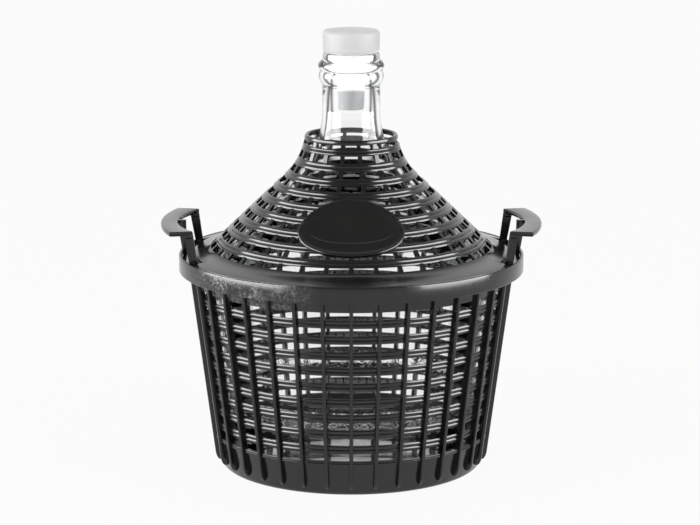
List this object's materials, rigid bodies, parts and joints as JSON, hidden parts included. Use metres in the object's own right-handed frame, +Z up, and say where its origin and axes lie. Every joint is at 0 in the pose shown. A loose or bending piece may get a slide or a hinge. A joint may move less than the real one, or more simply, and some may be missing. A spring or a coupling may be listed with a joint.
{
  "type": "demijohn",
  "caption": "Glass demijohn in a ribbed plastic basket with two grips, under a slotted conical cover, with a push-in stopper.",
  "frame": {"origin": "centre of the underside, on the surface that it stands on", "axes": "+Z up through the neck, -Y towards the front with the oval plate, +X through the right grip"},
  "size_m": [0.2754, 0.25, 0.3181],
  "materials": {
    "black_plastic": "satin moulded black plastic",
    "clear_glass": "clear blown glass",
    "milky_plastic": "translucent milky white plastic"
  },
  "bodies": {
    "demijohn": {"bottle": "clear_glass", "basket": "black_plastic", "cover": "black_plastic"},
    "stopper": {"stopper": "milky_plastic"}
  },
  "joints": [
    {"name": "stopper_lift", "type": "slide", "parent": "demijohn", "child": "stopper", "axis": [0, 0, 1], "range_m": [0, 0.05]}
  ]
}
